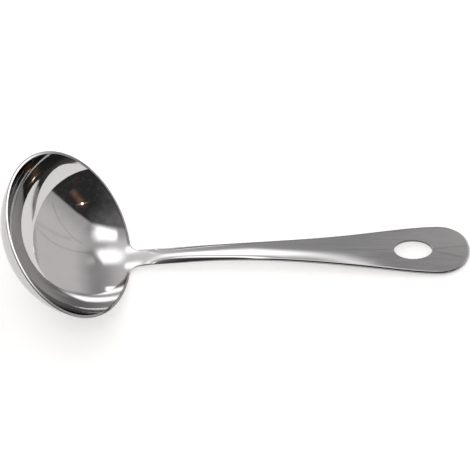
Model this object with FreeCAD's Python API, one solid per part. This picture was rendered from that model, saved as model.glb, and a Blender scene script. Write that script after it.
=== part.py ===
import FreeCAD, Part
import math
import os
from FreeCAD import Vector

# Bowl: a spherical cap of sheet metal, its rim ground flat
rim_diameter = 67.0
bowl_depth = 21.712
bowl_wall = 1.15

# Handle: it leaves the bowl on the wall's own slope, bends outward and ends straight
handle_reach = 132.0
handle_end_slope = 46.6
bend_length = 87.0
handle_thickness = 1.6
thickening_length = 24.0

# Crown across the handle: the bowl's hollow turns into a rounded back, which flattens out
crown_radius = 20.0
crown_start = 22.0
crown_fade_start = 60.0
crown_fade_end = 105.0

# Neck, where the rim sweeps into the handle
neck_width = 6.72
neck_distance = 19.3
neck_length = 6.0
neck_flank_radius = 360.0
neck_corner_radius = 3.6

# Outline of the handle from the neck to its round end
end_width = 19.96
end_radius = 9.2
widest_from_tip = 11.9
neck_pull = 59.0
shoulder_pull = 18.0

# Hanging hole
hole_length = 14.8
hole_width = 8.0
hole_from_tip = 22.0

# Edges on the hollow side of the bowl and the top of the handle are eased
edge_rounding = 0.35

# The handle's guide stations, and what trimming takes off
guide_step = 8.0
trim_allowance = 4.0
trim_reach = 60.0

# Sizes that follow from those above
rim_radius = rim_diameter / 2
bowl_radius = (rim_radius ** 2 + bowl_depth ** 2) / (2 * bowl_depth)
centre_height = bowl_radius - bowl_depth
inner_radius = bowl_radius - bowl_wall
inner_rim_radius = math.sqrt(inner_radius ** 2 - centre_height ** 2)
wall_slope = math.asin(inner_rim_radius / inner_radius)
end_slope = math.radians(handle_end_slope)
half_neck = neck_width / 2
half_end = end_width / 2
half_blank = half_end + trim_allowance
across = Vector(0, 1, 0)
root = Vector(inner_rim_radius, 0, 0)


def along_at(slope):
    return Vector(math.cos(slope), 0, math.sin(slope))


def normal_at(slope):
    return Vector(-math.sin(slope), 0, math.cos(slope))


def ease(share):
    """Smooth step from 0 to 1."""
    share = min(max(share, 0.0), 1.0)
    return share * share * (3 - 2 * share)


def slope_at(length):
    """Slope of the handle at a length from the rim: its bend fades evenly."""
    left = max(0.0, 1 - length / bend_length)
    return end_slope + (wall_slope - end_slope) * left ** 2


def hollow_at(length):
    """Curvature across the handle, positive where it is hollow and negative where it is crowned."""
    turned = ease(length / crown_start)
    faded = ease((length - crown_fade_start) / (crown_fade_end - crown_fade_start))
    return (1 - turned) / inner_radius - turned * (1 - faded) / crown_radius


def thickness_at(length):
    return bowl_wall + (handle_thickness - bowl_wall) * ease(length / thickening_length)


def guide_stations():
    """Stations along the handle, each a place, the handle's slope there and the length from the rim."""
    stations = [(root, wall_slope, 0.0), (root + along_at(wall_slope) * guide_step, wall_slope, 0.0)]
    place = stations[-1][0]
    length = guide_step
    while (place - root).dot(along_at(end_slope)) < handle_reach + trim_allowance:
        place = place + along_at(slope_at(length + guide_step / 2)) * guide_step
        length += guide_step
        stations.append((place, slope_at(length), length))
    return stations


def section(place, slope, hollow, depth):
    """Poles and weights of an arc across the handle, sunk below its upper skin by a depth."""
    sunk_hollow = hollow / (1 + hollow * depth)
    half_angle = math.asin(half_blank * sunk_hollow)
    rise = half_blank * math.tan(half_angle / 2)
    drop = half_blank * math.tan(half_angle)
    middle = place - normal_at(slope) * depth
    edge = middle + normal_at(slope) * rise
    poles = [edge - across * half_blank, edge - normal_at(slope) * drop, edge + across * half_blank]
    return poles, [1.0, math.cos(half_angle), 1.0]


def handle_skin(sunk):
    """The upper skin of the handle's sheet, or the lower one, as a smooth surface."""
    poles = []
    weights = []
    for place, slope, length in guide_stations():
        depth = thickness_at(length) if sunk else 0.0
        row, row_weights = section(place, slope, hollow_at(length), depth)
        poles.append(row)
        weights.append(row_weights)
    degree = 3
    spans = len(poles) - degree
    knots = [float(knot) for knot in range(spans + 1)]
    multiplicities = [degree + 1] + [1] * (spans - 1) + [degree + 1]
    surface = Part.BSplineSurface()
    surface.buildFromPolesMultsKnots(
        poles, multiplicities, [3, 3], knots, [0.0, 1.0], False, False, degree, 2, weights)
    return surface


def handle_blank():
    """The handle's sheet as formed, wider and longer than the trimmed handle."""
    upper = handle_skin(False)
    lower = handle_skin(True)
    first, last = upper.bounds()[0:2]
    faces = [upper.toShape(), lower.toShape()]
    for side in (0.0, 1.0):
        faces.append(Part.makeRuledSurface(upper.vIso(side).toShape(), lower.vIso(side).toShape()))
    for end in (first, last):
        faces.append(Part.makeRuledSurface(upper.uIso(end).toShape(), lower.uIso(end).toShape()))
    shell = Part.makeShell(faces)
    shell.sewShape()
    solid = Part.makeSolid(shell)
    if solid.Volume < 0:
        solid.reverse()
    return solid


def bowl_blank():
    """The bowl as drawn, its wall a little higher than the rim, cut back to where the handle starts."""
    centre = Vector(0, 0, centre_height)
    blank_angle = math.asin(half_blank / inner_radius)
    wall_height = centre_height * (1 - math.cos(blank_angle)) + bowl_wall
    edges = []
    ends = []
    for radius in (bowl_radius, inner_radius):
        pole = Vector(0, 0, centre_height - radius)
        brim = Vector(math.sqrt(radius ** 2 - (centre_height - wall_height) ** 2), 0, wall_height)
        middle = centre + (pole + brim - centre * 2).normalize() * radius
        edges.append(Part.Arc(pole, middle, brim).toShape())
        ends.append((pole, brim))
    edges.insert(1, Part.makeLine(ends[0][1], ends[1][1]))
    edges.append(Part.makeLine(ends[1][0], ends[0][0]))
    profile = Part.Face(Part.Wire(edges))
    cap = profile.revolve(Vector(0, 0, 0), Vector(0, 0, 1), 360)
    beyond = Part.makeBox(trim_reach, 2 * trim_reach, trim_reach)
    corner = centre - across * trim_reach - normal_at(wall_slope) * trim_reach
    axes = FreeCAD.Rotation(along_at(wall_slope), across, normal_at(wall_slope))
    beyond.Placement = FreeCAD.Placement(corner, axes)
    return cap.cut(beyond)


def mirrored(edges):
    """The same edges on the other side of the plane of symmetry, in reverse order."""
    origin = Vector(0, 0, 0)
    return [edge.mirror(origin, across) for edge in reversed(edges)]


def height_at(distance):
    """Height above the rim of a place near the neck, by its distance along the straight part."""
    mean_slope = (wall_slope + slope_at(distance)) / 2
    return distance * math.sin(mean_slope) / math.cos(mean_slope - end_slope)


def neck_waste():
    """What is trimmed above the rim: all but the neck, whose sides sweep out into the rim."""
    top = height_at(neck_distance)
    neck_foot = height_at(neck_distance - neck_length / 2)
    flank_centre = Vector(0, half_neck + neck_flank_radius, neck_foot)
    span = neck_flank_radius - neck_corner_radius
    fall = neck_foot - neck_corner_radius
    corner_centre = flank_centre - Vector(0, math.sqrt(span ** 2 - fall ** 2), fall)
    toward_meeting = (corner_centre - flank_centre).normalize()
    meeting = flank_centre + toward_meeting * neck_flank_radius
    toward_foot = Vector(0, 0, -1)
    foot = corner_centre + toward_foot * neck_corner_radius
    narrowest = Vector(0, half_neck, neck_foot)
    upper = Vector(0, half_neck, top)
    flank_middle = flank_centre + (toward_meeting - across).normalize() * neck_flank_radius
    corner_middle = corner_centre + (toward_meeting + toward_foot).normalize() * neck_corner_radius
    flank = [
        Part.Arc(foot, corner_middle, meeting).toShape(),
        Part.Arc(meeting, flank_middle, narrowest).toShape(),
        Part.makeLine(narrowest, upper),
    ]
    other = mirrored(flank)
    across_top = Part.makeLine(upper, upper - across * 2 * half_neck)
    across_foot = Part.makeLine(foot - across * 2 * foot.y, foot)
    outline = Part.Face(Part.Wire(flank + [across_top] + other + [across_foot]))
    neck = outline.extrude(Vector(trim_reach, 0, 0))
    slab = Part.makeBox(2 * trim_reach, 2 * trim_reach, top, Vector(-trim_reach, -trim_reach, 0))
    return slab.cut(neck)


def handle_point(distance, side, height=0.0):
    """Place by its distance from the rim along the straight part, to one side and above the root."""
    return root + along_at(end_slope) * distance + across * side + normal_at(end_slope) * height


def curve(points):
    bezier = Part.BezierCurve()
    bezier.setPoles(points)
    return bezier.toShape()


def end_waste():
    """What is trimmed beside the handle and round its end."""
    widest = handle_reach - widest_from_tip
    end_centre = handle_reach - end_radius
    start = neck_distance - neck_length / 4
    flare = neck_distance + neck_length / 2
    run = end_centre - widest
    shoulder_radius = (run ** 2 + half_end ** 2 - end_radius ** 2) / (2 * (half_end - end_radius))
    meeting_angle = math.atan2(shoulder_radius - half_end, run)
    shoulder_middle = (math.pi / 2 + meeting_angle) / 2
    end_middle = meeting_angle / 2
    shoulder_centre = half_end - shoulder_radius
    meeting = handle_point(
        end_centre + end_radius * math.cos(meeting_angle), end_radius * math.sin(meeting_angle))
    side = [
        Part.makeLine(handle_point(start, half_neck), handle_point(flare, half_neck)),
        curve([
            handle_point(flare, half_neck),
            handle_point(flare + neck_pull, half_neck),
            handle_point(widest - shoulder_pull, half_end),
            handle_point(widest, half_end)]),
        Part.Arc(
            handle_point(widest, half_end),
            handle_point(
                widest + shoulder_radius * math.cos(shoulder_middle),
                shoulder_centre + shoulder_radius * math.sin(shoulder_middle)),
            meeting).toShape(),
        Part.Arc(
            meeting,
            handle_point(
                end_centre + end_radius * math.cos(end_middle), end_radius * math.sin(end_middle)),
            handle_point(handle_reach, 0)).toShape(),
    ]
    closing = Part.makeLine(handle_point(start, -half_neck), handle_point(start, half_neck))
    outline = Part.Face(Part.Wire(side + mirrored(side) + [closing]))
    corners = [
        handle_point(start, -trim_reach),
        handle_point(start, trim_reach),
        handle_point(handle_reach + trim_reach, trim_reach),
        handle_point(handle_reach + trim_reach, -trim_reach),
    ]
    plate = Part.Face(Part.makePolygon(corners + corners[:1]))
    below = normal_at(end_slope) * -trim_reach
    waste = plate.cut(outline)
    waste.translate(below)
    return waste.extrude(below * -2)


def hanging_hole():
    """The oval punched through the end of the handle."""
    middle = handle_point(handle_reach - hole_from_tip, 0)
    far_end = middle + along_at(end_slope) * (hole_length / 2)
    near_side = middle + across * (hole_width / 2)
    oval = Part.Face(Part.Wire(Part.Ellipse(far_end, near_side, middle).toShape()))
    below = normal_at(end_slope) * -trim_reach
    oval.translate(below)
    return oval.extrude(below * -2)


def is_sharp(shape, edge):
    """Whether two faces meet at this edge in a corner."""
    faces = shape.ancestorsOfType(edge, Part.Face)
    if len(faces) < 2:
        return False
    place = edge.valueAt((edge.FirstParameter + edge.LastParameter) / 2)
    normals = []
    for face in faces[:2]:
        u, v = face.Surface.parameter(place)
        normals.append(face.normalAt(u, v))
    return normals[0].getAngle(normals[1]) > math.radians(45)


def upper_faces(shape):
    """The inside of the bowl and the top of the handle."""
    faces = []
    for face in shape.Faces:
        if isinstance(face.Surface, (Part.Sphere, Part.BSplineSurface)):
            first_u, last_u, first_v, last_v = face.ParameterRange
            if face.normalAt((first_u + last_u) / 2, (first_v + last_v) / 2).z > 0:
                faces.append(face)
    return faces


def ladle():
    sheet = bowl_blank().fuse(handle_blank())
    trimmed = sheet.cut(neck_waste()).cut(end_waste()).cut(hanging_hole())
    solid = trimmed.removeSplitter().Solids[0]
    edges = [edge for face in upper_faces(solid) for edge in face.Edges]
    return solid.makeFillet(edge_rounding, [edge for edge in edges if is_sharp(solid, edge)])


def at_rest(shape):
    """The ladle lying on its bowl and the tip of its handle, over the middle of what it covers."""
    arch_height = (guide_stations()[-1][0] - root).dot(normal_at(end_slope))
    tip = handle_point(handle_reach, 0, arch_height - handle_thickness)
    chord = tip - Vector(0, 0, centre_height)
    ground = math.atan2(chord.z, chord.x) + math.asin(bowl_radius / chord.Length)
    shape.rotate(Vector(0, 0, 0), across, math.degrees(ground))
    box = shape.optimalBoundingBox(False)
    shape.translate(Vector(-(box.XMin + box.XMax) / 2, 0, -box.ZMin))
    return shape


os.makedirs("parts", exist_ok=True)
at_rest(ladle()).exportStep("parts/ladle.step")
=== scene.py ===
import math

import bpy
import bmesh
from bpy.props import FloatProperty, FloatVectorProperty, PointerProperty
from mathutils import Matrix, Vector


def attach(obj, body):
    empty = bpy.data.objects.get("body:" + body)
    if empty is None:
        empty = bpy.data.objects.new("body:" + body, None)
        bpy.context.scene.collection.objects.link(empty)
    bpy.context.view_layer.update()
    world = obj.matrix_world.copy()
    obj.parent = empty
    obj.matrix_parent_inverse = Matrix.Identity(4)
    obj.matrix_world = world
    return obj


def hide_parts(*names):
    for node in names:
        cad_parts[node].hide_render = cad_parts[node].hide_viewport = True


bl_info = {
    "name": "Gravy ladle",
    "version": (1, 0, 0),
    "blender": (4, 5, 0),
    "location": "3D View > Sidebar > Ladle",
    "description": "A gravy ladle in polished and brushed steel, with its floor, light and camera",
    "category": "Add Mesh",
}

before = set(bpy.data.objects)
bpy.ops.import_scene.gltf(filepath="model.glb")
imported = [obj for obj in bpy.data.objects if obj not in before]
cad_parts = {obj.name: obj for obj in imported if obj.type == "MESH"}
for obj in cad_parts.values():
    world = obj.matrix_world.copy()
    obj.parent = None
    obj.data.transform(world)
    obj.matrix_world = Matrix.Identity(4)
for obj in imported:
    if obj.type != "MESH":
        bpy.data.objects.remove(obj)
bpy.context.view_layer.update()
LADLE_NODE = "ladle"

MM = 0.001
ACROSS = Vector((0.0, 1.0, 0.0))

# Where the middle of the rim lies, and the bowl's own axes there: toward the handle, and out of the bowl
RIM_MIDDLE = Vector((-63.7768, 0.0, 27.2631)) * MM
TOWARD_HANDLE = Vector((0.629631, 0.0, -0.776894))
OUT_OF_BOWL = Vector((0.776894, 0.0, 0.629631))

# The middle of the hanging hole, and the way that the straight end of the handle runs
HOLE_CENTRE = Vector((66.9226, 0.0, 3.2744)) * MM
HANDLE_ALONG = Vector((0.997083, 0.0, -0.0763207))
HANDLE_NORMAL = Vector((0.0763207, 0.0, 0.997083))

# The directions in which the studio's light is laid out
STUDIO_RIGHT = Vector((0.99165, 0.02427, -0.12669))
STUDIO_UP = Vector((0.03093, 0.90876, 0.41617))
STUDIO_BACK = Vector((0.12523, -0.41661, 0.90042))

# The studio stands near: what is mirrored twice leaves the bowl from its far side, and sees the studio turned
# by so many degrees and its panels so much brighter. The ray's depth passes between these two then
SECOND_SHIFT = 16.0
SECOND_GLOW = 1.7
SECOND_DEPTH = (2.2, 2.8)

# Places in the studio, in degrees to the right of and above its middle
LAMP = (18.0, -24.0)
SPOTS = ((-41.5, 35.0), (-41.5, 57.0))
SIDE_PANEL = (90.0, 37.0)
CREASE_END = (7.5, 37.5)

# Creases of the studio's cloth: the directions that each runs through, how wide it is and how dark
CREASES = (
    (((85.0, 3.0), (60.0, 24.0), (46.0, 31.0), (30.0, 36.0), (6.0, 38.5)), 1.8, 1.0),
    (((85.0, -3.0), (60.0, 10.5), (45.0, 17.5), (32.0, 20.5)), 4.5, 0.6),
    (((58.0, -26.0), (51.5, -10.5), (45.5, 0.0), (36.5, 11.5), (29.0, 19.0)), 1.8, 1.0),
    (((30.0, 18.5), (18.0, 26.0)), 2.0, 0.9),
    (((84.0, 8.0), (84.0, 60.0)), 4.0, 1.4),
)

# Dark lines of reflection painted round the hanging hole and along the handle's middle, in millimetres from the
# hole's middle: start, end, how wide and how strong
REFLECTION_LINES = (
    ((6.5, 0.1), (21.0, 1.7), 0.7, 1.0),
    ((6.5, -0.3), (19.5, -3.5), 0.7, 1.0),
    ((-30.0, 0.1), (-9.0, 0.0), 0.45, 0.7),
)
LINE_FADE = 1.5

CAMERA_PLACE = Vector((70.4327, -467.0026, 1037.9403)) * MM
CAMERA_RIGHT = Vector((0.99749795, -0.00151557, -0.07067919))
CAMERA_UP = Vector((0.03082606, 0.90904474, 0.41555676))
CAMERA_BACK = Vector((0.06362074, -0.41669577, 0.90681698))
FOCAL_PIXELS = 2929.755
PICTURE_WIDTH = 470
SENSOR_WIDTH = 36.0
CLIP = (0.05, 50.0)

# Along the neck, in shares of its distance from the rim: where its top grows rounder and where that fades,
# where its sides start to fall and where that fades
ROUNDER_START = (0.2, 0.8)
ROUNDER_FADE = (0.8, 2.8)
DROOP_START = (0.3, 0.8)
DROOP_FADE = (2.0, 3.2)
ROUNDING_START = (0.0, 0.6)

# How the rounder top fades, where across the neck it keeps its height, how far out the full droop lies, and
# how much further out the droop starts for each length past the neck
ROUNDER_POWER = 1.7
KEPT_SIDE = 0.3
DROOP_SIDE = 0.9
DROOP_WIDENING = 0.02

# How finely the sheet is divided, and how often a place on it is sought again
GUIDE_STEP = 8.0 * MM
PATH_STEP = 0.2 * MM
SMALL_SHARE = 0.002
SAME_PLACE = 0.002 * MM
SAME_ANGLE = 0.001
SMALL_TURN = 0.01
GUIDE_TRIES = 8
SKIN_TRIES = 12
OUTLINE_TRIES = 20
SOFTENED = 0.9
FULLEST_EDGE = 0.95
COLUMNS = 16
ARC_STEPS = 6
FACING = "facing"
ROUND_HOLE = "round_hole"
HOLE_MARGIN = 1.5 * MM
BOWL_RINGS = 22
BOWL_STEPS = 132
CORNER_ROWS = 12
FLANK_ROWS = 8
NECK_ROWS = 5
HANDLE_ROWS = 80
SHOULDER_ROWS = 5
TIP_ROWS = 16


def in_mm(name, description, millimetres):
    return FloatProperty(
        name=name, description=description, default=millimetres * MM, subtype="DISTANCE", unit="LENGTH")


def in_degrees(name, description, degrees):
    return FloatProperty(
        name=name, description=description, default=math.radians(degrees), subtype="ANGLE", unit="ROTATION")


def share_of_one(name, description, default):
    return FloatProperty(name=name, description=description, default=default, min=0.0, max=1.0, subtype="FACTOR")


def coloured(name, description, default, largest=1.0):
    return FloatVectorProperty(name=name, description=description, default=default, max=largest, subtype="COLOR")


def radiance(name, description, default):
    return FloatProperty(name=name, description=description, default=default, min=0.0)


class LadleSizes(bpy.types.PropertyGroup):
    """Sizes of the ladle's sheet"""

    rim_diameter: in_mm("Rim", "Outer diameter of the rim", 67.0)
    bowl_depth: in_mm("Depth", "Depth of the bowl outside", 21.712)
    bowl_wall: in_mm("Wall", "Thickness of the bowl's wall", 1.15)
    handle_reach: in_mm("Reach", "Length of the handle along its straight end", 132.0)
    handle_end_slope: in_degrees("Slope", "Slope of the handle's end against the rim", 46.6)
    bend_length: in_mm("Bend", "Length over which the handle bends", 87.0)
    handle_thickness: in_mm("Handle", "Thickness of the handle", 1.6)
    thickening_length: in_mm("Thickening", "Length over which the sheet grows thicker", 24.0)
    crown_radius: in_mm("Crown", "Radius of the crown across the handle", 20.0)
    neck_crown_radius: in_mm("Neck crown", "Radius of the crown on top of the neck", 7.0)
    crown_start: in_mm("Crown start", "Length over which the hollow becomes a crown", 22.0)
    crown_fade_start: in_mm("Fade start", "Where the crown starts to flatten", 60.0)
    crown_fade_end: in_mm("Fade end", "Where the crown is flat", 105.0)
    side_start: in_mm("Side start", "Where the neck's top starts to round off to its sides", 0.8)
    side_droop: in_mm("Side droop", "How far the neck's top falls toward its sides", 0.4)
    neck_width: in_mm("Neck", "Width of the neck", 6.72)
    neck_distance: in_mm("Neck distance", "Distance of the neck from the rim", 19.3)
    neck_length: in_mm("Neck length", "Length of the straight neck", 6.0)
    neck_flank_radius: in_mm("Flank", "Radius of the neck's sides", 360.0)
    neck_corner_radius: in_mm("Corner", "Radius of the corner between rim and neck", 3.6)
    end_width: in_mm("End", "Width of the handle's end", 19.96)
    end_radius: in_mm("End radius", "Radius of the handle's tip", 9.2)
    widest_from_tip: in_mm("Widest", "Distance of the widest place from the tip", 11.9)
    neck_pull: in_mm("Neck pull", "How far the outline stays narrow", 59.0)
    shoulder_pull: in_mm("Shoulder pull", "How far the outline stays wide", 18.0)
    hole_length: in_mm("Hole length", "Length of the hanging hole", 14.8)
    hole_width: in_mm("Hole width", "Width of the hanging hole", 8.0)
    hole_from_tip: in_mm("Hole distance", "Distance of the hole's middle from the tip", 22.0)
    rim_inner_rounding: in_mm("Rim inside", "Rounding of the rim's inner edge", 0.22)
    rim_outer_rounding: in_mm("Rim outside", "Rounding of the rim's outer edge", 0.32)
    edge_rounding: in_mm("Edges", "Rounding of the handle's upper edges", 0.95)
    under_rounding: in_mm("Lower edges", "Rounding of the handle's lower edges", 0.5)
    hole_rounding: in_mm("Hole edge", "Rounding of the hole's edges", 0.14)


class LadleFinish(bpy.types.PropertyGroup):
    """Colours and polish of the steel"""

    steel: coloured("Steel", "Colour of the bare steel", (0.535, 0.527, 0.53))
    brushed: coloured("Brushed steel", "Colour of the brushed end of the handle", (0.60, 0.59, 0.585))
    # The grooves' colour also carries the painted side shade and the painted reflection lines on the brushed end
    groove_and_shade: coloured("Grooves", "Colour in the grooves of the brushing", (0.29, 0.288, 0.29))
    # The dark colour painted as shade on the hanging hole's wall, the handle's cut sides and the rim's outer edge
    sheared_and_shaded: coloured("Shaded sheared edges", "Colour of the hanging hole's wall", (0.12, 0.117, 0.12))
    polish: share_of_one("Polish", "Roughness of the mirror polished bowl", 0.035)
    buffed: share_of_one("Buffed", "Roughness that the bowl has more where it meets the neck", 0.075)
    satin: share_of_one("Satin", "Roughness of the brushed end of the handle", 0.1)


class StageSettings(bpy.types.PropertyGroup):
    """The floor and the studio round the ladle"""

    floor_length: in_mm("Floor length", "Length of the floor", 1200.0)
    floor_front: in_mm("Floor front", "How far the floor reaches toward the camera", 115.0)
    floor_back: in_mm("Floor back", "How far the floor reaches away from the camera", 150.0)
    floor: coloured("Floor", "Colour of the floor", (0.93, 0.925, 0.905))
    tent: coloured("Tent", "Light of the grey cloth round the table", (0.827, 0.80, 0.793), 10.0)
    shade: coloured("Shade", "Light of the cloth's darkest fold", (0.408, 0.405, 0.41), 10.0)
    room: coloured("Room", "Light of the dark room behind the camera", (0.037, 0.037, 0.038), 10.0)
    wood: coloured("Wood", "Light of the brown wood in the room", (0.21, 0.124, 0.074), 10.0)
    floor_glow: radiance("Floor glow", "How strongly the floor shines by itself", 0.455)
    panel: radiance("Panels", "Radiance of the soft panels", 2.6)
    haze: radiance("Haze", "Radiance of the haze round the upper panel", 1.36)
    spot: radiance("Spots", "Radiance of the two spots beside the upper panel", 2.2)
    lamp: radiance("Lamp", "Radiance of the small lamp in the room", 7.4)


class Value:
    """A socket of a node tree that takes part in Python expressions."""

    def __init__(self, maker, socket):
        self.maker = maker
        self.socket = socket

    def math(self, operation, *others):
        return self.maker.math(operation, self, *others)

    def least(self, other):
        return self.math("MINIMUM", other)

    def most(self, other):
        return self.math("MAXIMUM", other)

    def __add__(self, other):
        return self.math("ADD", other)

    __radd__ = __add__

    def __sub__(self, other):
        return self.math("SUBTRACT", other)

    def __rsub__(self, other):
        return self.maker.math("SUBTRACT", other, self)

    def __mul__(self, other):
        return self.math("MULTIPLY", other)

    __rmul__ = __mul__

    def __truediv__(self, other):
        return self.math("DIVIDE", other)

    def __pow__(self, other):
        return self.math("POWER", other)

    def __abs__(self):
        return self.math("ABSOLUTE")

    def rise(self, start, end):
        """0 before the start and 1 after the end, smooth between."""
        inputs = {"Value": self, "From Min": start, "From Max": end}
        return self.maker.node("ShaderNodeMapRange", {"interpolation_type": "SMOOTHSTEP"}, inputs)

    def fall(self, start, end):
        """1 before the start and 0 after the end, smooth between."""
        return 1 - self.rise(start, end)

    def band(self, start, end, soft):
        """1 between the start and the end, with soft edges."""
        return self.rise(start - soft, start + soft) * self.fall(end - soft, end + soft)


class Nodes:
    """Fills a node tree."""

    def __init__(self, holder):
        holder.use_nodes = True
        self.tree = holder.node_tree
        self.tree.nodes.clear()

    def add(self, kind, settings, inputs):
        node = self.tree.nodes.new(kind)
        for name, setting in settings.items():
            setattr(node, name, setting)
        for name, given in inputs.items():
            if isinstance(given, Value):
                self.tree.links.new(given.socket, node.inputs[name])
            else:
                node.inputs[name].default_value = given
        return node

    def node(self, kind, settings=None, inputs=None, output=0):
        """An output of a new node, from the node's settings and what its sockets are given."""
        return Value(self, self.add(kind, settings or {}, inputs or {}).outputs[output])

    def math(self, operation, *terms):
        return self.node("ShaderNodeMath", {"operation": operation}, dict(enumerate(terms)))

    def dot(self, vector, fixed):
        inputs = {0: vector, 1: tuple(fixed)}
        return self.node("ShaderNodeVectorMath", {"operation": "DOT_PRODUCT"}, inputs, "Value")

    def millimetres(self, place, axis, origin):
        """How far a place lies along an axis from an origin."""
        return (self.dot(place, axis) - origin.dot(axis)) / MM

    def mix(self, share, first, second):
        """A colour that goes from the first to the second."""
        return self.node("ShaderNodeMix", {"data_type": "RGBA"}, {0: share, 6: first, 7: second}, 2)

    def noise(self, vector, scale, detail, roughness):
        inputs = {"Vector": vector, "Scale": scale, "Detail": detail, "Roughness": roughness}
        return self.node("ShaderNodeTexNoise", {}, inputs)

    def streaks(self, along, across, detail, roughness):
        """Noise drawn out along the handle."""
        vector = self.node("ShaderNodeCombineXYZ", {}, {"X": along, "Y": across})
        return self.noise(vector, 1.0, detail, roughness)


class Chart:
    """Two coordinates to draw in: millimetres on the handle, or degrees in the studio."""

    def __init__(self, x, y):
        self.x = x
        self.y = y

    def line(self, start, end, width):
        """1 on a line between two places, fading to its sides and ends."""
        run = Vector(end) - Vector(start)
        way = run.normalized()
        along = (self.x - start[0]) * way.x + (self.y - start[1]) * way.y
        beside = abs((self.x - start[0]) * way.y - (self.y - start[1]) * way.x)
        return beside.fall(0.0, width) * along.band(0.0, run.length, LINE_FADE)

    def path(self, places, width):
        """1 on a line through several places, fading to its sides and ends."""
        drawn = 0.0
        for start, end in zip(places, places[1:]):
            drawn = self.line(start, end, width).most(drawn)
        return drawn

    def spot(self, place, inner, outer):
        """1 round a place, fading from the inner radius to the outer one."""
        away = ((self.x - place[0]) ** 2.0 + (self.y - place[1]) ** 2.0).math("SQRT")
        return away.fall(inner, outer)


def ease(value, start=0.0, end=1.0):
    """Smooth step from 0 at the start to 1 at the end."""
    share = min(max((value - start) / (end - start), 0.0), 1.0)
    return share * share * (3 - 2 * share)


def along_at(slope):
    return Vector((math.cos(slope), 0.0, math.sin(slope)))


def normal_at(slope):
    return Vector((-math.sin(slope), 0.0, math.cos(slope)))


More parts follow.
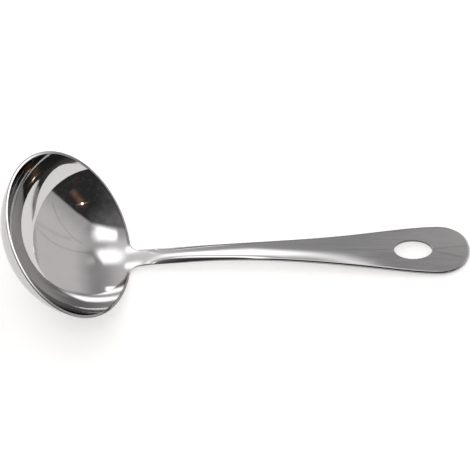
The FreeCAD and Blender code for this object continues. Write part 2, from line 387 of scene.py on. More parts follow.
class Sheet:
    """The two skins of the ladle's sheet in the bowl's axes, by length from the rim and place across."""

    def __init__(self, sizes):
        self.sizes = sizes
        self.rim_radius = sizes.rim_diameter / 2
        self.bowl_radius = (self.rim_radius ** 2 + sizes.bowl_depth ** 2) / (2 * sizes.bowl_depth)
        self.centre = Vector((0.0, 0.0, self.bowl_radius - sizes.bowl_depth))
        self.inner_radius = self.bowl_radius - sizes.bowl_wall
        self.inner_rim_radius = math.sqrt(self.inner_radius ** 2 - self.centre.z ** 2)
        self.wall_slope = math.asin(self.inner_rim_radius / self.inner_radius)
        self.root = Vector((self.inner_rim_radius, 0.0, 0.0))
        self.along = along_at(sizes.handle_end_slope)
        self.normal = normal_at(sizes.handle_end_slope)
        self.stations = [self.station(self.root, 0.0, 0.0)]
        place = self.root + along_at(self.wall_slope) * GUIDE_STEP
        length = GUIDE_STEP
        self.stations.append(self.station(place, length, 0.0))
        while (place - self.root).dot(self.along) < sizes.handle_reach + 2 * GUIDE_STEP:
            place = place + along_at(self.bent(length + GUIDE_STEP / 2)) * GUIDE_STEP
            length += GUIDE_STEP
            self.stations.append(self.station(place, length, length))
        self.known = {}

    def bent(self, length):
        """Slope that the handle is bent to at a length from the rim."""
        left = max(0.0, 1 - length / self.sizes.bend_length)
        end = self.sizes.handle_end_slope
        return end + (self.wall_slope - end) * left ** 2

    def station(self, place, length, formed):
        """A guide station: its length, its place, its hollow across and the sheet's thickness there."""
        sizes = self.sizes
        turned_over = ease(formed, 0.0, sizes.crown_start)
        faded = ease(formed, sizes.crown_fade_start, sizes.crown_fade_end)
        hollow = (1 - turned_over) / self.inner_radius - turned_over * (1 - faded) / sizes.crown_radius
        grown = ease(formed, 0.0, sizes.thickening_length)
        thickness = sizes.bowl_wall + (sizes.handle_thickness - sizes.bowl_wall) * grown
        return Vector((length, place.x, place.z, hollow, thickness))

    def guided(self, share):
        """What the smooth curve through the guide stations has at a share of its way."""
        spans = len(self.stations) - 3
        span = min(max(int(share), 0), spans - 1)
        knots = [min(max(span + step, 0), spans) for step in range(-2, 4)]
        poles = self.stations[span:span + 4]
        for level in range(3):
            poles = [
                first + (second - first) * ((share - knots[level + step]) / (knots[step + 3] - knots[level + step]))
                for step, (first, second) in enumerate(zip(poles, poles[1:]))]
        return poles[0]

    def at(self, length):
        """Place, slope, hollow and thickness at a length; before the rim they are the bowl's own."""
        if length < 0:
            slope = self.wall_slope + length / self.inner_radius
            place = self.centre - normal_at(slope) * self.inner_radius
            return place, slope, 1 / self.inner_radius, self.sizes.bowl_wall
        if length not in self.known:
            share = max(length / GUIDE_STEP - 1, length / GUIDE_STEP / 3)
            for closer in range(GUIDE_TRIES):
                here = self.guided(share)
                ahead = self.guided(share + SMALL_SHARE)
                share = max(share + (length - here[0]) * SMALL_SHARE / (ahead[0] - here[0]), 0.0)
            here = self.guided(share)
            ahead = self.guided(share + SMALL_SHARE) - self.guided(max(share - SMALL_SHARE, 0.0))
            self.known[length] = (Vector((here[1], 0.0, here[2])), math.atan2(ahead[2], ahead[1]), here[3], here[4])
        return self.known[length]

    def slope(self, length):
        return self.at(length)[1]

    def middle(self, length):
        return self.at(length)[0]

    def rise(self, length, side, sunk):
        """Height of a skin above the handle's middle line, and its slope across."""
        hollow, thickness = self.at(length)[2:]
        if sunk:
            hollow = hollow / (1 + hollow * thickness)
        fall = math.sqrt(1 - (hollow * side) ** 2)
        height = hollow * side ** 2 / (1 + fall)
        tilt = hollow * side / fall
        if sunk:
            return height - thickness, tilt
        rounder = self.rounder_neck(length)
        height -= rounder * (side ** 2 - (KEPT_SIDE * self.sizes.neck_width) ** 2) / 2
        tilt -= rounder * side
        start, droop = self.side_droop(length)
        beyond = max(abs(side) - start, 0.0)
        return height - droop * beyond ** 3, tilt - math.copysign(3 * droop * beyond ** 2, side)

    def rounder_neck(self, length):
        """How much more the top of the neck is crowned than the rest of the handle."""
        sizes = self.sizes
        share = length / sizes.neck_distance
        strength = ease(share, *ROUNDER_START) * (1 - ease(share, *ROUNDER_FADE)) ** ROUNDER_POWER
        return (1 / sizes.neck_crown_radius - 1 / sizes.crown_radius) * strength

    def side_droop(self, length):
        """Where the top of the neck starts to round off to its sides, and how strongly."""
        sizes = self.sizes
        share = length / sizes.neck_distance
        strength = ease(share, *DROOP_START) * (1 - ease(share, *DROOP_FADE))
        span = DROOP_SIDE * sizes.neck_width / 2 - sizes.side_start
        inner = sizes.side_start + DROOP_WIDENING * max(length - sizes.neck_distance, 0.0)
        return inner, sizes.side_droop / span ** 3 * strength

    def skin(self, length, side, sunk=False):
        """A place on the upper skin, or on the lower one, and the way that it faces."""
        slope = self.slope(length)
        up = normal_at(slope)
        height, tilt = self.rise(length, side, sunk)
        step = PATH_STEP
        climb = (self.rise(length + step, side, sunk)[0] - self.rise(length - step, side, sunk)[0]) / (2 * step)
        bend = (self.slope(length + step) - self.slope(length - step)) / (2 * step)
        climb /= 1 - height * bend
        facing = (up - along_at(slope) * climb - ACROSS * tilt).normalized()
        return self.middle(length) + up * height + ACROSS * side, -facing if sunk else facing

    def length_where(self, axis, value, side, guess):
        """Length at which the upper skin passes a plane, which lies at a value along an axis from the root."""
        length = guess
        for step in range(SKIN_TRIES):
            away = value - (self.skin(length, side)[0] - self.root).dot(axis)
            length += away / along_at(self.slope(length)).dot(axis)
        return length

    def length_of(self, place):
        """Length at which a place near the sheet stands."""
        length = (place - self.root).dot(self.along)
        for step in range(SKIN_TRIES):
            slope = self.slope(length)
            length += (place - self.middle(length)).dot(along_at(slope)) * SOFTENED
        return length

    def through(self, place, direction):
        """Where a line from the upper skin comes out of the lower one, and the way the skin faces there."""
        reach = self.sizes.bowl_wall
        for step in range(SKIN_TRIES):
            tried = place + direction * reach
            skin, facing = self.skin(self.length_of(tried), tried.y, True)
            reach += (skin - tried).dot(facing) / direction.dot(facing)
        return place + direction * reach, facing


def rounded(corner, first, second, radius):
    """Places and facings round a corner of the sheet's edge, from one side of it to the other."""
    half = first.angle(second) / 2
    middle = corner + (first + second).normalized() * (radius / math.sin(half))
    start = corner + first * (radius / math.tan(half)) - middle
    end = corner + second * (radius / math.tan(half)) - middle
    turn = start.angle(end)
    steps = []
    for step in range(ARC_STEPS + 1):
        share = step / ARC_STEPS
        spoke = (start * math.sin((1 - share) * turn) + end * math.sin(share * turn)) / math.sin(turn)
        steps.append((middle + spoke, spoke.normalized()))
    return steps


def edge_profile(upper, lower, along_edge, down, upper_rounding, lower_rounding):
    """The sheet's edge from its upper skin to its lower one, both corners rounded."""
    inward_above = along_edge.cross(upper[1]).normalized()
    inward_below = lower[1].cross(along_edge).normalized()
    needed = upper_rounding / math.tan(inward_above.angle(down) / 2)
    needed += lower_rounding / math.tan(inward_below.angle(-down) / 2)
    fit = min(1.0, FULLEST_EDGE * (lower[0] - upper[0]).length / needed)
    above = rounded(upper[0], inward_above, down, upper_rounding * fit)
    below = rounded(lower[0], -down, inward_below, lower_rounding * fit)
    return above + below


def turn_in_row(facing):
    """A facing given in the bowl's axes, as the ladle lies."""
    return TOWARD_HANDLE * facing.x + ACROSS * facing.y + OUT_OF_BOWL * facing.z


def place_in_row(place):
    """A place given in the bowl's axes, where the ladle lies."""
    return RIM_MIDDLE + turn_in_row(place)


def turned(point, angle):
    """A place or facing turned about the bowl's axis."""
    return Matrix.Rotation(angle, 3, "Z") @ point


def neck_corner(sheet):
    """The neck's side above the rim's plane: the middles of its corner and of its flank, and the flank's lean."""
    sizes = sheet.sizes
    length = sizes.neck_distance - sizes.neck_length / 2
    mean = (sheet.wall_slope + sheet.slope(length)) / 2
    height = length * math.sin(mean) / math.cos(mean - sizes.handle_end_slope)
    flank = Vector((sizes.neck_width / 2 + sizes.neck_flank_radius, height))
    span = sizes.neck_flank_radius - sizes.neck_corner_radius
    fall = height - sizes.neck_corner_radius
    corner = flank - Vector((math.sqrt(span ** 2 - fall ** 2), fall))
    return corner, flank, math.asin(fall / span)


def neck_foot_angle(sheet):
    """Half the angle of the rim that the neck grows out of."""
    return math.asin(neck_corner(sheet)[0].x / sheet.inner_rim_radius)


def rim_profile(sheet):
    """The rim's edge in the plane toward the handle."""
    sizes = sheet.sizes
    inner = Vector((sheet.inner_rim_radius, 0.0, 0.0))
    outer = Vector((sheet.rim_radius, 0.0, 0.0))
    upper = (inner, (sheet.centre - inner).normalized())
    lower = (outer, (outer - sheet.centre).normalized())
    profile = edge_profile(
        upper, lower, -ACROSS, Vector((1.0, 0.0, 0.0)), sizes.rim_inner_rounding, sizes.rim_outer_rounding)
    start = (profile[0][0] - sheet.centre).normalized()
    end = (profile[-1][0] - sheet.centre).normalized()
    profile[0] = (sheet.centre + start * sheet.inner_radius, -start)
    profile[-1] = (sheet.centre + end * sheet.bowl_radius, end)
    return profile


def outline(sheet):
    """Places along the cut edge on the handle's upper skin from neck to tip, with the way the cut faces."""
    sizes = sheet.sizes
    corner, flank, lean = neck_corner(sheet)
    half_neck = sizes.neck_width / 2
    half_end = sizes.end_width / 2
    quarter = math.radians(90)
    cuts = []

    def cut(axis, value, side, facing):
        guess = cuts[-1][0] if cuts else 0.0
        cuts.append((sheet.length_where(axis, value, side, guess), side, facing.normalized()))

    def arc(rows, axis, middle, radius, start, end, outward):
        for step in range(1, rows + 1):
            angle = start + (end - start) * step / rows
            value = middle[1] + radius * math.cos(angle)
            side = middle[0] + radius * math.sin(angle)
            cut(axis, value, side, (axis * math.cos(angle) + ACROSS * math.sin(angle)) * outward)

    height = Vector((0.0, 0.0, 1.0))
    arc(CORNER_ROWS, height, corner, sizes.neck_corner_radius, -2 * quarter, -quarter - lean, -1)
    arc(FLANK_ROWS, height, flank, sizes.neck_flank_radius, -quarter - lean, -quarter, -1)
    start = (sheet.skin(cuts[-1][0], half_neck)[0] - sheet.root).dot(sheet.along)
    flare = sizes.neck_distance + sizes.neck_length / 2
    for step in range(1, NECK_ROWS + 1):
        cut(sheet.along, start + (flare - start) * step / NECK_ROWS, half_neck, ACROSS)
    widest = sizes.handle_reach - sizes.widest_from_tip
    poles = ((flare, half_neck), (flare + sizes.neck_pull, half_neck),
             (widest - sizes.shoulder_pull, half_end), (widest, half_end))
    share = 0.0
    for step in range(1, HANDLE_ROWS + 1):
        distance = flare + (widest - flare) * step / HANDLE_ROWS
        for closer in range(OUTLINE_TRIES):
            place, slope = on_curve(poles, share)
            share = min(max(share + (distance - place.x) / slope.x, 0.0), 1.0)
        place, slope = on_curve(poles, share)
        cut(sheet.along, distance, place.y, ACROSS * slope.x - sheet.along * slope.y)
    end_centre = sizes.handle_reach - sizes.end_radius
    run = end_centre - widest
    shoulder = (run ** 2 + half_end ** 2 - sizes.end_radius ** 2) / (2 * (half_end - sizes.end_radius))
    meeting = math.atan2(shoulder - half_end, run)
    arc(SHOULDER_ROWS, sheet.along, (half_end - shoulder, widest), shoulder, quarter, meeting, 1)
    arc(TIP_ROWS, sheet.along, (0.0, end_centre), sizes.end_radius, meeting, 0.0, 1)
    return cuts


def on_curve(poles, share):
    """Place and direction on a cubic curve with four poles."""
    first, second, third, last = (Vector(pole) for pole in poles)
    rest = 1 - share
    place = first * rest ** 3 + second * (3 * rest ** 2 * share) + third * (3 * rest * share ** 2) + last * share ** 3
    slope = (second - first) * (3 * rest ** 2) + (third - second) * (6 * rest * share)
    slope += (last - third) * (3 * share ** 2)
    return place, slope


def handle_sections(sheet, rim, foot):
    """Closed sections round the handle's sheet, from the rim to the tip; each place with its facing."""
    sizes = sheet.sizes
    cuts = outline(sheet)
    places = [Vector((sheet.inner_rim_radius * math.cos(foot), sheet.inner_rim_radius * math.sin(foot), 0.0))]
    places += [sheet.skin(length, side)[0] for length, side, facing in cuts]
    places.append(mirrored((places[-2], ACROSS))[0])
    angles = [foot * (1 - 2 * column / COLUMNS) for column in range(COLUMNS + 1)]
    spread = [math.sin(angle) / math.sin(foot) for angle in angles]
    upper = [(turned(rim[0][0], angle), turned(rim[0][1], angle)) for angle in angles]
    lower = [(turned(rim[-1][0], angle), turned(rim[-1][1], angle)) for angle in angles]
    side_edge = [(turned(place, foot), turned(facing, foot)) for place, facing in rim]
    sections = [closed_section(upper, side_edge, lower)]
    first_length = sheet.length_of(rim[0][0])
    for row, (length, side, cut_facing) in enumerate(cuts, 1):
        along_edge = (places[row + 1] - places[row - 1]).normalized()
        down = cut_facing.cross(along_edge).normalized()
        top = sheet.skin(length, side)
        bottom = sheet.through(top[0], down)
        share = ease(length / sizes.neck_distance, *ROUNDING_START)
        above = sizes.rim_inner_rounding + (sizes.edge_rounding - sizes.rim_inner_rounding) * share
        below = sizes.rim_outer_rounding + (sizes.under_rounding - sizes.rim_outer_rounding) * share
        edge = edge_profile(top, bottom, along_edge, down, above, below)
        ends = []
        for end, sunk in ((edge[0][0], False), (edge[-1][0], True)):
            reach = sheet.length_of(end)
            centre = reach
            if row < CORNER_ROWS:
                last = cuts[CORNER_ROWS - 1][0]
                centre = first_length + (last - first_length) * row / CORNER_ROWS
            ends.append([
                sheet.skin(reach + (centre - reach) * (1 - part ** 2), max(end.y, 0.0) * part, sunk)
                for part in spread])
        edge[0] = ends[0][0]
        edge[-1] = ends[1][0]
        sections.append(closed_section(ends[0], edge, ends[1]))
    return sections


def mirrored(item):
    """A place and its facing on the sheet's other side."""
    place, facing = item
    return Vector((place.x, -place.y, place.z)), Vector((facing.x, -facing.y, facing.z))


def closed_section(upper, edge, lower):
    """A section round the sheet: upper skin, far edge, lower skin, near edge, and back to its start."""
    between = edge[1:-1]
    return upper + [mirrored(item) for item in between] + lower[::-1] + between[::-1] + upper[:1]


def facing_layer(mesh):
    return mesh.verts.layers.float_vector.get(FACING) or mesh.verts.layers.float_vector.new(FACING)


def turn_bowl(sheet, rim, foot):
    """The bowl, turned from its profile; where the neck grows out, only its two skins are turned."""
    profile = []
    for radius, end, outside in ((sheet.inner_radius, rim[0][0], -1), (sheet.bowl_radius, rim[-1][0], 1)):
        last = math.atan2(end.x, sheet.centre.z - end.z)
        skin = []
        for ring in range(BOWL_RINGS):
            angle = last * ring / BOWL_RINGS
            spoke = Vector((math.sin(angle), 0.0, -math.cos(angle)))
            skin.append((sheet.centre + spoke * radius, spoke * outside))
        profile.append(skin)
    profile = profile[0] + rim + profile[1][::-1]
    deselect_all()
    bpy.ops.mesh.primitive_plane_add(size=sheet.rim_radius, location=(0.0, 0.0, 0.0))
    bowl = bpy.context.object
    edit("SELECT")
    bpy.ops.mesh.merge(type="CENTER")
    places = [place_in_row(turned(place, foot)) for place, facing in profile]
    bpy.ops.transform.translate(value=places[0])
    for start, end in zip(places, places[1:]):
        bpy.ops.mesh.extrude_region_move(TRANSFORM_OT_translate={"value": end - start})
    bpy.ops.mesh.select_all(action="SELECT")
    bpy.ops.mesh.spin(steps=BOWL_STEPS, angle=2 * foot - 2 * math.pi, center=RIM_MIDDLE, axis=OUT_OF_BOWL)
    bpy.ops.mesh.select_all(action="DESELECT")
    mesh = bmesh.from_edit_mesh(bowl.data)
    for item in mesh.edges:
        middles = [in_bowl(end.co) for end in item.verts]
        near = all(abs(math.atan2(end.y, end.x) - foot) < SAME_ANGLE or math.hypot(end.x, end.y) < SAME_PLACE
                   for end in middles)
        on_skin = any(all(abs((end - sheet.centre).length - radius) < SAME_PLACE for end in middles)
                      for radius in (sheet.inner_radius, sheet.bowl_radius))
        if near and on_skin:
            item.select_set(True)
    bmesh.update_edit_mesh(bowl.data)
    bpy.ops.mesh.spin(steps=COLUMNS, angle=2 * foot, center=RIM_MIDDLE, axis=OUT_OF_BOWL)
    mesh = bmesh.from_edit_mesh(bowl.data)
    layer = facing_layer(mesh)
    for item in mesh.verts:
        place = in_bowl(item.co)
        angle = math.atan2(place.y, place.x)
        flat = turned(place, -angle)
        facing = min(profile, key=lambda step: (step[0] - flat).length_squared)[1]
        item[layer] = turn_in_row(turned(facing, angle))
    bmesh.update_edit_mesh(bowl.data)
    bpy.ops.object.mode_set(mode="OBJECT")
    return bowl


def in_bowl(place):
    """A place where the ladle lies, given in the bowl's axes."""
    away = place - RIM_MIDDLE
    return Vector((away.dot(TOWARD_HANDLE), away.y, away.dot(OUT_OF_BOWL)))


def form_handle(sheet, rim, foot):
    """The handle: a flat grid wrapped round the sheet's sections."""
    sections = handle_sections(sheet, rim, foot)
    rows = len(sections) - 1
    columns = len(sections[0]) - 1
    deselect_all()
    bpy.ops.mesh.primitive_grid_add(x_subdivisions=columns, y_subdivisions=rows, size=2.0)
    handle = bpy.context.object
    edit("DESELECT")
    mesh = bmesh.from_edit_mesh(handle.data)
    layer = facing_layer(mesh)
    columns_of = {}
    for item in mesh.verts:
        column = round((item.co.x + 1) / 2 * columns)
        row = round((item.co.y + 1) / 2 * rows)
        columns_of[item] = column
        place, facing = sections[row][column]
        item.co = place_in_row(place)
        item[layer] = turn_in_row(facing)
    spare = COLUMNS // 4
    lower_start = COLUMNS + 2 * ARC_STEPS + 1
    half_length = sheet.sizes.hole_length / 2 + HOLE_MARGIN
    for item in mesh.faces:
        away = item.calc_center_median() - HOLE_CENTRE
        column = min(columns_of[end] for end in item.verts)
        upper = spare <= column < COLUMNS - spare
        lower = lower_start + spare <= column < lower_start + COLUMNS - spare
        item.select_set(abs(away.dot(HANDLE_ALONG)) < half_length and (upper or lower))
    bmesh.update_edit_mesh(handle.data)
    bpy.ops.mesh.delete(type="FACE")
    bpy.ops.mesh.select_all(action="SELECT")
    bpy.ops.mesh.remove_doubles(threshold=SAME_PLACE)
    bpy.ops.object.mode_set(mode="OBJECT")
    return handle


def hole_ring(sheet, angle):
    """The hole's edge at an angle round it, from the upper skin to the lower one."""
    sizes = sheet.sizes
    middle = sizes.handle_reach - sizes.hole_from_tip
    half_length = sizes.hole_length / 2
    half_width = sizes.hole_width / 2

    def upper_skin(turn):
        side = half_width * math.sin(turn)
        distance = middle + half_length * math.cos(turn)
        length = sheet.length_where(sheet.along, distance, side, distance)
        return sheet.skin(length, side)

    top = upper_skin(angle)
    along_edge = (upper_skin(angle + SMALL_TURN)[0] - upper_skin(angle - SMALL_TURN)[0]).normalized()
    down = -sheet.normal
    bottom = sheet.through(top[0], down)
    return edge_profile(top, bottom, along_edge, down, sizes.hole_rounding, sizes.hole_rounding)


def hole_edges(sheet, mesh):
    """The open edges round the hole, each with where its middle lies from the hole's."""
    for item in mesh.edges:
        away = (item.verts[0].co + item.verts[1].co) / 2 - HOLE_CENTRE
        if item.is_boundary and away.length < sheet.sizes.hole_length:
            yield item, away


def punch_hole(sheet, piece):
    """Draws the opening in the two skins in to the oval hole, with rounded edges."""
    sizes = sheet.sizes
    make_active(piece)
    edit("DESELECT")
    mesh = bmesh.from_edit_mesh(piece.data)
    layer = mesh.verts.layers.float.new(ROUND_HOLE)
    for item, middle in hole_edges(sheet, mesh):
        item.select_set(middle.dot(HANDLE_NORMAL) > -sizes.handle_thickness / 2)
        for end in item.verts:
            away = end.co - HOLE_CENTRE
            end[layer] = math.atan2(away.y / sizes.hole_width, away.dot(HANDLE_ALONG) / sizes.hole_length)
    bmesh.update_edit_mesh(piece.data)
    for ring in range(2 * (ARC_STEPS + 1)):
        bpy.ops.mesh.extrude_edges_move()
        mesh = bmesh.from_edit_mesh(piece.data)
        layer = mesh.verts.layers.float.get(ROUND_HOLE)
        facings = facing_layer(mesh)
        for item in mesh.verts:
            if item.select:
                place, facing = hole_ring(sheet, item[layer])[ring]
                item.co = place_in_row(place)
                item[facings] = turn_in_row(facing)
        bmesh.update_edit_mesh(piece.data)
    mesh = bmesh.from_edit_mesh(piece.data)
    for item, middle in hole_edges(sheet, mesh):
        item.select_set(True)
    bmesh.update_edit_mesh(piece.data)
    bpy.ops.mesh.bridge_edge_loops()
    mesh = bmesh.from_edit_mesh(piece.data)
    mesh.verts.layers.float.remove(mesh.verts.layers.float.get(ROUND_HOLE))
    bmesh.update_edit_mesh(piece.data)
    bpy.ops.object.mode_set(mode="OBJECT")


def colour(values):
    return tuple(values) + (1.0,)


def grey(level):
    return (level, level, level, 1.0)


def deselect_all():
    if bpy.context.object is not None and bpy.context.object.mode != "OBJECT":
        bpy.ops.object.mode_set(mode="OBJECT")
    bpy.ops.object.select_all(action="DESELECT")


def edit(action):
    """Starts to edit the active piece, with all of its mesh selected or deselected."""
    bpy.ops.object.mode_set(mode="EDIT")
    bpy.ops.mesh.select_all(action=action)


def make_active(piece):
    deselect_all()
    piece.select_set(True)
    bpy.context.view_layer.objects.active = piece


def steel_material(finish):
    """Steel, mirror polished in the bowl and brushed lengthwise toward the end of the handle."""
    material = bpy.data.materials.new("stainless_steel")
    make = Nodes(material)
    place = make.node("ShaderNodeTexCoord", output="Object")
    facing = make.node("ShaderNodeNewGeometry", output="Normal")
    level = abs(make.dot(facing, HANDLE_NORMAL))
    sideways = abs(make.dot(facing, ACROSS))

    # Along and across the handle from the hole's middle, and along the rim's plane and over it from the rim's
    along = make.millimetres(place, HANDLE_ALONG, HOLE_CENTRE)
    across = make.millimetres(place, ACROSS, HOLE_CENTRE)
    toward_handle = make.millimetres(place, TOWARD_HANDLE, RIM_MIDDLE)
    over_rim = make.millimetres(place, OUT_OF_BOWL, RIM_MIDDLE)

    lines = make.streaks(along * 0.13, across * 2.6, 3.0, 0.6)
    broad = make.streaks(along * 0.035, across * 0.7, 2.0, 0.5)
    fine = make.streaks(along * 0.2, across * 9.0, 2.0, 0.5)
    haze = make.noise(place, 60.0, 4.0, 0.55)
    grain = (lines - 0.5) * 0.8 + (broad - 0.5) * 0.5

    brushed = along.rise(-55.0, -15.0) * level.rise(0.75, 0.95)
    buffed = along.rise(-128.0, -106.0) * along.fall(-90.0, -75.0)
    round_hole = ((along / 7.4) ** 2.0 + (across / 4.0) ** 2.0).math("SQRT")
    # The hanging hole's sheared wall: rougher steel, and darkened with painted shade
    sheared_and_shaded = level.fall(0.3, 0.8) * round_hole.fall(1.15, 1.35)
    # Painted shade on the handle's cut sides toward its end
    shaded_cut_sides = level.fall(0.25, 0.6).most(sideways.rise(0.2, 0.5)) * along.rise(-98.0, -88.0) * 0.6
    # Painted shade: a dark line along the rim's outer edge, left off at the neck's root
    root = toward_handle.rise(29.0, 31.0) * abs(across).fall(5.0, 7.0)
    shaded_rim_edge = over_rim.rise(-0.6, -0.1) * toward_handle.rise(-30.0, -10.0)
    shaded_rim_edge = shaded_rim_edge * toward_handle.fall(32.5, 33.5) * (1 - root) * 0.75
    # Painted shade: the handle's brushed end is darker on its -y side
    shaded_side = across.fall(-5.0, 4.0) * 0.25
    # Painted dark reflection lines round the hanging hole and along the handle's middle
    on_handle = Chart(along, across)
    reflection_lines = sum(on_handle.line(start, end, width) * strength for start, end, width, strength in REFLECTION_LINES)

    tint = make.mix(brushed, colour(finish.steel), colour(finish.brushed))
    # The brushed end darkens in its grooves, and in its painted side shade and painted reflection lines
    tint = make.mix(brushed * ((0.5 - grain) * 0.55 + reflection_lines * 0.22 + shaded_side), tint, colour(finish.groove_and_shade))
    # Painted shade on the hole's wall, the handle's cut sides and the rim's outer edge
    tint = make.mix(sheared_and_shaded.most(shaded_cut_sides).most(shaded_rim_edge), tint, colour(finish.sheared_and_shaded))
    roughness = (
        brushed * (finish.satin - finish.polish) + finish.polish + (haze - 0.5) * 0.02 + brushed * grain * 0.1
        + buffed * finish.buffed + sheared_and_shaded * 0.25)
    bump = make.node(
        "ShaderNodeBump", {}, {"Strength": 0.3, "Distance": 0.00002, "Height": (grain + fine * 0.5) * brushed})
    shader = make.node(
        "ShaderNodeBsdfPrincipled", {},
        {"Base Color": tint, "Metallic": 1.0, "Roughness": roughness, "Normal": bump, "Specular Tint": grey(0.8)})
    make.add("ShaderNodeOutputMaterial", {}, {"Surface": shader})
    return material


class LADLE_OT_ladle(bpy.types.Operator):
    """The ladle: a turned bowl, its handle and the hanging hole, in one sheet with rounded edges"""

    bl_idname = "ladle.ladle"
    bl_label = "Ladle"

    def execute(self, context):
        sheet = Sheet(context.scene.ladle_sizes)
        foot = neck_foot_angle(sheet)
        rim = rim_profile(sheet)
        bowl = turn_bowl(sheet, rim, foot)
        handle = form_handle(sheet, rim, foot)
        deselect_all()
        bowl.select_set(True)
        handle.select_set(True)
        context.view_layer.objects.active = bowl
        bpy.ops.object.join()
        piece = context.object
        piece.name = piece.data.name = "ladle_sheet"
        punch_hole(sheet, piece)
        make_active(piece)
        edit("SELECT")
        bpy.ops.mesh.remove_doubles(threshold=SAME_PLACE)
        bpy.ops.mesh.normals_make_consistent(inside=False)
        bpy.ops.object.mode_set(mode="OBJECT")
        bpy.ops.object.shade_smooth()
        facings = [tuple(item.vector) for item in piece.data.attributes[FACING].data]
        piece.data.normals_split_custom_set_from_vertices(facings)
        piece.data.attributes.remove(piece.data.attributes[FACING])
        piece.data.materials.clear()
        piece.data.materials.append(steel_material(context.scene.ladle_finish))
        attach(piece, "root")
        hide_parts(LADLE_NODE)
        return {"FINISHED"}


def floor_material(stage):
    material = bpy.data.materials.new("pale_floor")
    make = Nodes(material)
    place = make.node("ShaderNodeTexCoord", output="Object")
    mottle = make.noise(place, 30.0, 3.0, 0.5)
    tint = make.mix(mottle * 0.1, colour(stage.floor), colour([part * 0.96 for part in stage.floor]))
    shader = make.node(
        "ShaderNodeBsdfPrincipled", {},
        {"Base Color": tint, "Roughness": 0.9, "Emission Color": grey(1.0),
         "Emission Strength": stage.floor_glow, "Specular IOR Level": 0.0})
    make.add("ShaderNodeOutputMaterial", {}, {"Surface": shader})
    return material


def cloth_light(make, stage, studio, toward, above):
    """The grey cloth round the table: its shaded valley, its creases and its dusk toward the floor."""
    bright_strip = studio.y.band(44.0, 53.0, 5.0) * studio.x.rise(0.5, 5.0) * studio.x.fall(8.0, 20.0)
    valley = studio.x.fall(0.0, 34.0) * studio.x.rise(-40.0, 0.0)
    valley = valley * (1 - studio.y.band(14.0, 34.0, 8.0) * 0.45) * (1 - bright_strip * 0.65)
    dusk = (above.fall(-6.0, 38.0) * 0.75).most(studio.y.rise(94.0, 102.0))
    creases = sum(studio.path(places, width) * depth for places, width, depth in CREASES)
    creases = creases + studio.spot(CREASE_END, 1.0, 6.0) * 0.5
    mottled = (make.noise(toward, 4.0, 3.0, 0.5) - 0.5) * 0.3
    shaded = (valley.most(dusk) + creases * 0.36 + mottled).least(1.1).most(-0.1)
    return make.mix(shaded, colour(stage.tent), colour(stage.shade))


def room_light(make, stage, studio, toward):
    """The dark room behind the camera, with its brown wood and its small reflections."""
    glimmer = make.noise(toward, 7.0, 4.0, 0.6)
    glints = make.noise(toward, 13.0, 4.0, 0.65).rise(0.5, 0.72)
    wood = glimmer.rise(0.5, 0.75) * studio.x.rise(5.0, 20.0)
    streak = studio.path(((19.5, -26.0), (25.0, -33.0), (32.0, -42.0)), 6.5)
    streak = streak * (glimmer * 1.4 + 0.2) + studio.spot(LAMP, 1.0, 9.0) * 0.45
    room = make.mix((wood * 0.2 + streak).least(1.0), colour(stage.room), colour(stage.wood))
    lit = studio.x.fall(-30.0, 6.0) * 0.11 + studio.y.rise(-26.0, -2.0) * studio.x.fall(0.0, 16.0) * 0.1
    return make.mix(lit * (glimmer * 1.6 + 0.2) + glints * 0.05, room, colour(stage.tent))


def panel_shapes(make, studio, toward, above, wave):
    """1 where one of the soft panels stands: the high, low and far ones, and one at the side."""
    wavy_right = studio.x + wave
    wavy_up = studio.y + wave * 0.6
    high_top = 53.5 - (studio.x + 9.0).most(0.0) * 1.1
    high_panel = (
        wavy_right.rise(-42.0, -20.0) * studio.x.fall(-9.0, 7.0)
        * wavy_up.rise(27.5, 41.5) * (studio.y - high_top).fall(-9.0, 4.0))
    low_panel = (
        studio.x.rise(-28.0, -23.0) * wavy_right.fall(-7.0, 9.5)
        * (above + studio.x * 0.1).rise(-2.0, 6.5) * wavy_up.fall(16.0, 27.0))
    far_panel = studio.x.band(-25.0, -12.0, 3.0) * studio.y.band(88.0, 95.0, 2.0)
    height = make.dot(toward, (0.0, 0.0, 1.0))
    side_panel = studio.spot(SIDE_PANEL, 3.5, 6.5) * height.rise(-0.068, -0.052) * height.fall(-0.04, -0.02)
    return (high_panel + low_panel + far_panel + side_panel).least(1.0)


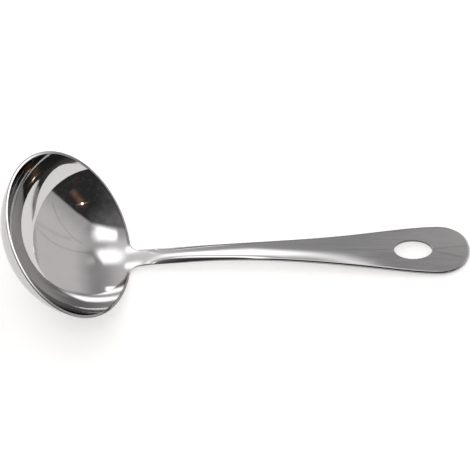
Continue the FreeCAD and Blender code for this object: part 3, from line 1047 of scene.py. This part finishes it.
def studio_world(stage):
    """The light round the table: grey cloth, soft panels with their haze, and a dark room with a lamp."""
    world = bpy.data.worlds.new("studio")
    make = Nodes(world)
    toward = make.node("ShaderNodeTexCoord", output="Generated")
    right = make.dot(toward, STUDIO_RIGHT)
    up = make.dot(toward, STUDIO_UP)
    turn = make.dot(toward, STUDIO_BACK).math("ARCCOSINE") * math.degrees(1.0)
    spread = (right * right + up * up + 1e-8).math("SQRT")
    twice = make.node("ShaderNodeLightPath", output="Ray Depth").rise(*SECOND_DEPTH)
    studio = Chart(turn * right / spread - twice * SECOND_SHIFT, turn * up / spread)
    slant = (4.9 - studio.x * 0.714).least(1.5 - studio.x * 0.17).least(8.0 - studio.x * 0.84)
    above = studio.y - slant
    wave = (make.noise(toward, 5.0, 3.0, 0.55) - 0.5) * 7.0

    dark = (above + wave * 0.15).fall(-2.5, 2.5) * turn.fall(88.0, 104.0)
    light = make.mix(dark, cloth_light(make, stage, studio, toward, above), room_light(make, stage, studio, toward))
    hazy = studio.x.rise(-58.0, -34.0) * studio.x.fall(-22.0, 4.0) * studio.y.band(20.0, 54.0, 7.0)
    light = make.mix(hazy * 0.32 * (1 - dark), light, grey(stage.haze))
    spots = sum(studio.spot(place, 2.0, 7.5) for place in SPOTS)
    light = make.mix(spots.least(1.0), light, grey(stage.spot))
    glow = make.mix(twice, grey(stage.panel), grey(stage.panel * SECOND_GLOW))
    light = make.mix(panel_shapes(make, studio, toward, above, wave), light, glow)
    rays = studio.line((29.0, -21.5), (7.0, -26.5), 0.9) * studio.spot(LAMP, 0.5, 9.0)
    light = make.mix(rays * 0.4, light, colour(stage.lamp * share for share in (0.4, 0.22, 0.1)))
    light = make.mix(studio.spot(LAMP, 0.8, 1.9), light, colour(stage.lamp * share for share in (1.0, 0.85, 0.65)))

    seen = make.node("ShaderNodeLightPath", output="Is Camera Ray")
    lit, plain = (
        make.node("ShaderNodeBackground", {}, {"Color": shown, "Strength": 1.0}) for shown in (light, grey(1.0)))
    both = make.node("ShaderNodeMixShader", {}, {0: seen, 1: lit, 2: plain})
    make.add("ShaderNodeOutputWorld", {}, {"Surface": both})
    bpy.context.scene.world = world


class LADLE_OT_stage(bpy.types.Operator):
    """The pale floor, the studio's light and the camera"""

    bl_idname = "ladle.stage"
    bl_label = "Stage"

    def execute(self, context):
        stage = context.scene.ladle_stage
        deselect_all()
        bpy.ops.mesh.primitive_plane_add(size=1.0, location=(0.0, 0.0, 0.0))
        floor = context.object
        edit("SELECT")
        bpy.ops.transform.resize(value=(stage.floor_length, stage.floor_front + stage.floor_back, 1.0))
        bpy.ops.transform.translate(value=(0.0, (stage.floor_back - stage.floor_front) / 2, 0.0))
        bpy.ops.object.mode_set(mode="OBJECT")
        floor.name = "floor"
        floor.data.materials.append(floor_material(stage))
        studio_world(stage)
        data = bpy.data.cameras.new("camera")
        data.sensor_width = SENSOR_WIDTH
        data.lens = FOCAL_PIXELS * SENSOR_WIDTH / PICTURE_WIDTH
        data.clip_start, data.clip_end = CLIP
        camera = bpy.data.objects.new("camera", data)
        context.scene.collection.objects.link(camera)
        turned_to = Matrix((CAMERA_RIGHT, CAMERA_UP, CAMERA_BACK)).transposed().to_4x4()
        camera.matrix_world = Matrix.Translation(CAMERA_PLACE) @ turned_to
        context.scene.camera = camera
        context.scene.view_settings.view_transform = "Standard"
        return {"FINISHED"}


class LADLE_PT_panel(bpy.types.Panel):
    """The ladle's operators and settings"""

    bl_idname = "LADLE_PT_panel"
    bl_label = "Gravy ladle"
    bl_space_type = "VIEW_3D"
    bl_region_type = "UI"
    bl_category = "Ladle"

    def draw(self, context):
        for operator in OPERATORS:
            self.layout.operator(operator.bl_idname)
        for group in (context.scene.ladle_sizes, context.scene.ladle_finish, context.scene.ladle_stage):
            for name in group.bl_rna.properties.keys():
                if name not in ("rna_type", "name"):
                    self.layout.prop(group, name)


OPERATORS = (LADLE_OT_ladle, LADLE_OT_stage)
CLASSES = (LadleSizes, LadleFinish, StageSettings) + OPERATORS + (LADLE_PT_panel,)


def register():
    for item in CLASSES:
        bpy.utils.register_class(item)
    bpy.types.Scene.ladle_sizes = PointerProperty(type=LadleSizes)
    bpy.types.Scene.ladle_finish = PointerProperty(type=LadleFinish)
    bpy.types.Scene.ladle_stage = PointerProperty(type=StageSettings)


def unregister():
    del bpy.types.Scene.ladle_stage
    del bpy.types.Scene.ladle_finish
    del bpy.types.Scene.ladle_sizes
    for item in reversed(CLASSES):
        bpy.utils.unregister_class(item)


def main():
    register()
    bpy.ops.ladle.ladle()
    bpy.ops.ladle.stage()


if __name__ == "__main__":
    main()
